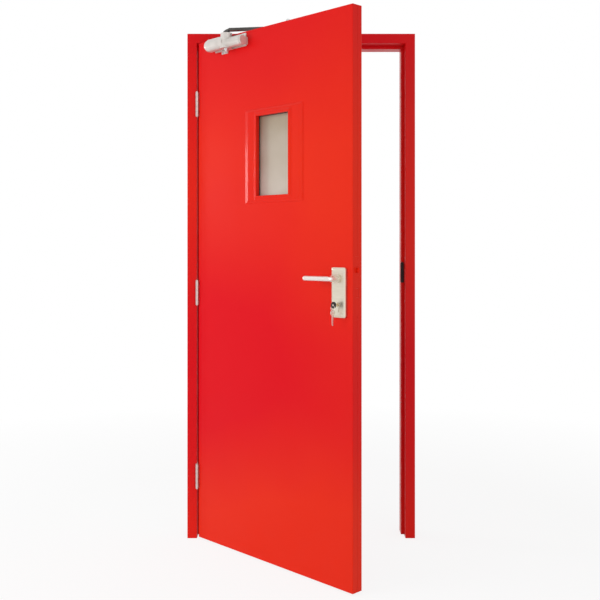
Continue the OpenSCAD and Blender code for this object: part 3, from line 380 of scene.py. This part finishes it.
RECIPES = {
    "leaf red": (red_paint, dict(LEAF_REDS, roughness=(0.28, 0.36), peel=0.5)),
    "trim red": (red_paint, dict(LEAF_REDS, roughness=(0.16, 0.24), peel=0.1)),
    "frame red": (red_paint, dict(FRAME_REDS_PAINTED_DARKER, roughness=(0.28, 0.36), peel=0.5)),
    "galvanised": (zinc_metal, dict(
        pale=(0.66, 0.67, 0.68), deep=(0.50, 0.51, 0.53), roughness=(0.38, 0.52), crystal_scale=160.0)),
    "bright zinc": (zinc_metal, dict(
        pale=(0.74, 0.74, 0.74), deep=(0.60, 0.61, 0.62), roughness=(0.26, 0.40), crystal_scale=900.0)),
    "satin plate": (brushed_metal, dict(
        pale=(0.80, 0.74, 0.62), deep=(0.68, 0.62, 0.50), roughness=(0.36, 0.45))),
    "satin lever": (brushed_metal, dict(
        pale=(0.90, 0.84, 0.80), deep=(0.79, 0.72, 0.68), roughness=(0.26, 0.35))),
    "hinge steel": (brushed_metal, dict(
        pale=(0.70, 0.62, 0.59), deep=(0.58, 0.51, 0.48), roughness=(0.40, 0.49), turned=False)),
    "closer silver": (sprayed_metal, dict(
        pale=(0.70, 0.66, 0.62), deep=(0.56, 0.52, 0.48), roughness=(0.30, 0.38), metallic=0.4)),
    "arm grey": (sprayed_metal, dict(
        pale=(0.09, 0.085, 0.08), deep=(0.06, 0.055, 0.05), roughness=(0.34, 0.42), metallic=0.4)),
    "worn brass": (brushed_metal, dict(
        pale=(0.74, 0.61, 0.36), deep=(0.58, 0.46, 0.25), roughness=(0.30, 0.39))),
    "key nickel": (brushed_metal, dict(
        pale=(0.84, 0.80, 0.75), deep=(0.70, 0.66, 0.61), roughness=(0.24, 0.33))),
    "black rubber": (moulded, dict(
        pale=(0.030, 0.029, 0.028), deep=(0.012, 0.012, 0.012), roughness=(0.62, 0.72), grain_scale=1100.0)),
    "black plastic": (moulded, dict(
        pale=(0.035, 0.035, 0.036), deep=(0.016, 0.016, 0.017), roughness=(0.45, 0.55), grain_scale=800.0)),
    "mineral board": (moulded, dict(
        pale=(0.66, 0.60, 0.47), deep=(0.48, 0.43, 0.32), roughness=(0.85, 0.95), grain_scale=420.0)),
    "fire glass": (fire_glass, dict(
        clear=(0.46, 0.37, 0.25), pale_cloud_and_reflection=(0.74, 0.66, 0.58), roughness=(0.30, 0.38))),
}
FINISHES = {name: make(name, **values) for name, (make, values) in RECIPES.items()}

FINISH_OF_SLOT = {
    "galvanised": "galvanised",
    "satin_metal": "satin plate",
    "zinc_steel": "bright zinc",
    "hinge_steel": "hinge steel",
    "lever_satin": "satin lever",
    "closer_silver": "closer silver",
    "arm_steel": "arm grey",
    "brass_plug": "worn brass",
    "key_nickel": "key nickel",
    "black_rubber": "black rubber",
    "black_plastic": "black plastic",
    "mineral_core": "mineral board",
    "fire_glass": "fire glass",
}
TRIM_NODES = {"pull_trim", "push_trim"}


def finish_of(node):
    slot = SLOT_OF[node]
    if node in TRIM_NODES:
        return FINISHES["trim red"]
    if slot == "red_paint":
        return FINISHES["frame red" if BODY_OF[node] == "frame" else "leaf red"]
    return FINISHES[FINISH_OF_SLOT[slot]]


# Pieces: the nodes listed here are shown as merged copies of their own meshes with eased edges

EASED_EDGE_MM = {
    "top_hinge_fixed": 0.5, "middle_hinge_fixed": 0.5, "bottom_hinge_fixed": 0.5,
    "top_hinge_moving": 0.5, "middle_hinge_moving": 0.5, "bottom_hinge_moving": 0.5, "hinge_pins": 0.6,
    "strike_plate": 0.4, "latch_buffer": 0.8, "lock_forend": 0.3, "forend_screws": 0.2,
    "latch_bolt": 0.5, "dead_bolt": 0.6, "pull_backplate": 0.9, "push_backplate": 0.9,
    "pull_lever": 0.6, "push_lever": 0.6, "key_cylinder": 0.5, "cylinder_plug": 0.3,
    "door_key": 0.3, "spare_key": 0.3,
    "pull_trim": 1.0, "push_trim": 1.0, "glass_pane": 0.6, "glazing_gaskets": 0.5,
    "closer_body": 1.2, "closer_caps": 0.8, "closer_arm": 1.0, "closer_pinion": 0.6, "elbow_stud": 0.8,
    "forearm_socket": 0.6, "forearm_rod": 0.6, "forearm_nut": 0.4, "closer_shoe": 0.8, "shoe_pin": 0.5,
}
EASING_STEPS = 2
MERGE_WITHIN = 2e-6
FLAT_WITHIN = math.radians(0.5)
SHARP_FROM = math.radians(32)
# Between the facets of the trim's screw holes and its shallowest bevel
TRIM_SHARP_FROM = math.radians(9.2)


def link_piece(work, name, finish):
    """Turns a finished bmesh into a smooth object at the origin."""
    for face in work.faces:
        face.smooth = True
    mesh = bpy.data.meshes.new(name)
    work.to_mesh(mesh)
    work.free()
    mesh.materials.append(finish)
    piece = bpy.data.objects.new(name, mesh)
    bpy.context.scene.collection.objects.link(piece)
    return piece


def eased_copy(node, width, finish):
    """Merges the node's triangles into whole faces, then eases its sharp edges by width."""
    sharp_from = TRIM_SHARP_FROM if node in TRIM_NODES else SHARP_FROM
    work = bmesh.new()
    work.from_mesh(frame["nodes"][node].data)
    bmesh.ops.remove_doubles(work, verts=work.verts, dist=MERGE_WITHIN)
    bmesh.ops.dissolve_limit(work, angle_limit=FLAT_WITHIN, use_dissolve_boundaries=False,
                             verts=work.verts, edges=work.edges)
    for edge in work.edges:
        edge.smooth = edge.calc_face_angle(0.0) < sharp_from
    piece = link_piece(work, node + "_eased", finish)
    easing = piece.modifiers.new("eased edges", "BEVEL")
    easing.width = width
    easing.segments = EASING_STEPS
    easing.limit_method = "ANGLE"
    easing.angle_limit = sharp_from
    easing.harden_normals = True
    return piece


def dress_nodes():
    for node, cad in frame["nodes"].items():
        finish = finish_of(node)
        cad.data.materials.clear()
        cad.data.materials.append(finish)
        if node in EASED_EDGE_MM:
            piece = eased_copy(node, EASED_EDGE_MM[node] * MM, finish)
            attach(piece, BODY_OF[node])
            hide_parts(node)


def make_key_cover():
    """Black moulded cover over the key's bow: a thick round pad with the ring's hole."""
    work = bmesh.new()
    bmesh.ops.create_circle(work, segments=COVER_FACETS, radius=COVER_RADIUS)
    bmesh.ops.create_circle(work, segments=COVER_FACETS, radius=COVER_HOLE_RADIUS,
                            matrix=Matrix.Translation((-COVER_HOLE_BACK, 0.0, 0.0)))
    bmesh.ops.bridge_loops(work, edges=work.edges[:])
    raised = bmesh.ops.extrude_face_region(work, geom=work.faces[:])["geom"]
    bmesh.ops.translate(work, vec=(0.0, 0.0, COVER_THICKNESS),
                        verts=[part for part in raised if isinstance(part, bmesh.types.BMVert)])
    bmesh.ops.recalc_face_normals(work, faces=work.faces)
    rims = [edge for edge in work.edges if edge.calc_face_angle(0.0) > SHARP_FROM]
    bmesh.ops.bevel(work, geom=rims, offset=COVER_EDGE, affect="EDGES", segments=COVER_EDGE_STEPS,
                    profile=0.5, material=-1, offset_type="OFFSET", clamp_overlap=True)
    # The pad stands on edge, its thickness across the bow
    on_edge = Matrix(((0, 0, 1, -COVER_THICKNESS / 2), (1, 0, 0, 0), (0, 1, 0, 0), (0, 0, 0, 1)))
    place = SWING @ Matrix.Scale(MM, 4) @ Matrix.Translation(BOW_CENTRE) @ on_edge
    bmesh.ops.transform(work, matrix=place, verts=work.verts)
    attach(link_piece(work, "key_bow_cover", FINISHES["black plastic"]), "key")


# Stage

def any_seen_ray(tree):
    """1 for rays that show the background: straight to the camera, mirrored, or through glass."""
    rays = add(tree, "ShaderNodeLightPath").outputs
    seen = calculate(tree, "MAXIMUM", rays["Is Camera Ray"], rays["Is Glossy Ray"])
    return calculate(tree, "MAXIMUM", seen, rays["Is Transmission Ray"])


def mix_shaders(tree, share, first, second):
    node = add(tree, "ShaderNodeMixShader")
    for socket, value in zip(node.inputs, (share, first.outputs[0], second.outputs[0])):
        feed(tree, socket, value)
    return node.outputs[0]


def make_world():
    """Even light, with a plain white background wherever it is seen."""
    world = bpy.data.worlds.new("studio")
    world.use_nodes = True
    tree = world.node_tree
    tree.nodes.clear()
    light = add(tree, "ShaderNodeBackground")
    light.inputs["Color"].default_value = WHITE
    light.inputs["Strength"].default_value = WORLD_LIGHT
    shown = add(tree, "ShaderNodeBackground")
    shown.inputs["Color"].default_value = WHITE
    feed(tree, add(tree, "ShaderNodeOutputWorld").inputs["Surface"],
         mix_shaders(tree, any_seen_ray(tree), light, shown))
    bpy.context.scene.world = world


def floor_material():
    """White floor that keeps the object's shadow near it and fades to plain white further out."""
    material = bpy.data.materials.new("studio floor")
    material.use_nodes = True
    tree = material.node_tree
    tree.nodes.clear()
    distance = add(tree, "ShaderNodeVectorMath", operation="LENGTH")
    feed(tree, distance.inputs[0], add(tree, "ShaderNodeTexCoord").outputs["Object"])
    plain = remap(tree, distance.outputs["Value"], FLOOR_SHADOW_REACH, (1.0 - FLOOR_SHOWS_SHADOW, 1.0))
    matt = add(tree, "ShaderNodeBsdfDiffuse")
    matt.inputs["Color"].default_value = FLOOR_COLOUR
    glow = add(tree, "ShaderNodeEmission")
    share = calculate(tree, "MULTIPLY", any_seen_ray(tree), plain)
    feed(tree, add(tree, "ShaderNodeOutputMaterial").inputs["Surface"], mix_shaders(tree, share, matt, glow))
    return material


def make_floor():
    work = bmesh.new()
    bmesh.ops.create_grid(work, x_segments=1, y_segments=1, size=FLOOR_SIZE / 2)
    link_piece(work, "floor", floor_material())


def make_lamp(name, place, aim, size, power, mirrored):
    """A soft square lamp; mirrored says whether paint and metal show its image."""
    lamp = bpy.data.lights.new(name, "AREA")
    lamp.shape = "SQUARE"
    lamp.size = size
    lamp.energy = power
    holder = bpy.data.objects.new(name, lamp)
    holder.location = place
    holder.rotation_euler = (Vector(aim) - Vector(place)).to_track_quat("-Z", "Y").to_euler()
    holder.visible_glossy = mirrored
    bpy.context.scene.collection.objects.link(holder)


def make_camera():
    """Level camera, shifted so that the horizon falls where the photograph has it."""
    lens = bpy.data.cameras.new("camera")
    lens.sensor_width = SENSOR_MM
    lens.lens = SENSOR_MM * FOCAL_PIXELS / PICTURE_SIZE
    lens.shift_y = (HORIZON_PIXEL - PICTURE_SIZE / 2) / PICTURE_SIZE
    camera = bpy.data.objects.new("camera", lens)
    camera.location = EYE
    camera.rotation_euler = (math.pi / 2, 0.0, 0.0)
    bpy.context.scene.collection.objects.link(camera)
    bpy.context.scene.camera = camera


def make_stage():
    bpy.context.scene.view_settings.view_transform = "Standard"
    make_world()
    make_floor()
    for lamp in LAMPS:
        make_lamp(**lamp)
    make_camera()


dress_nodes()
make_key_cover()
make_stage()
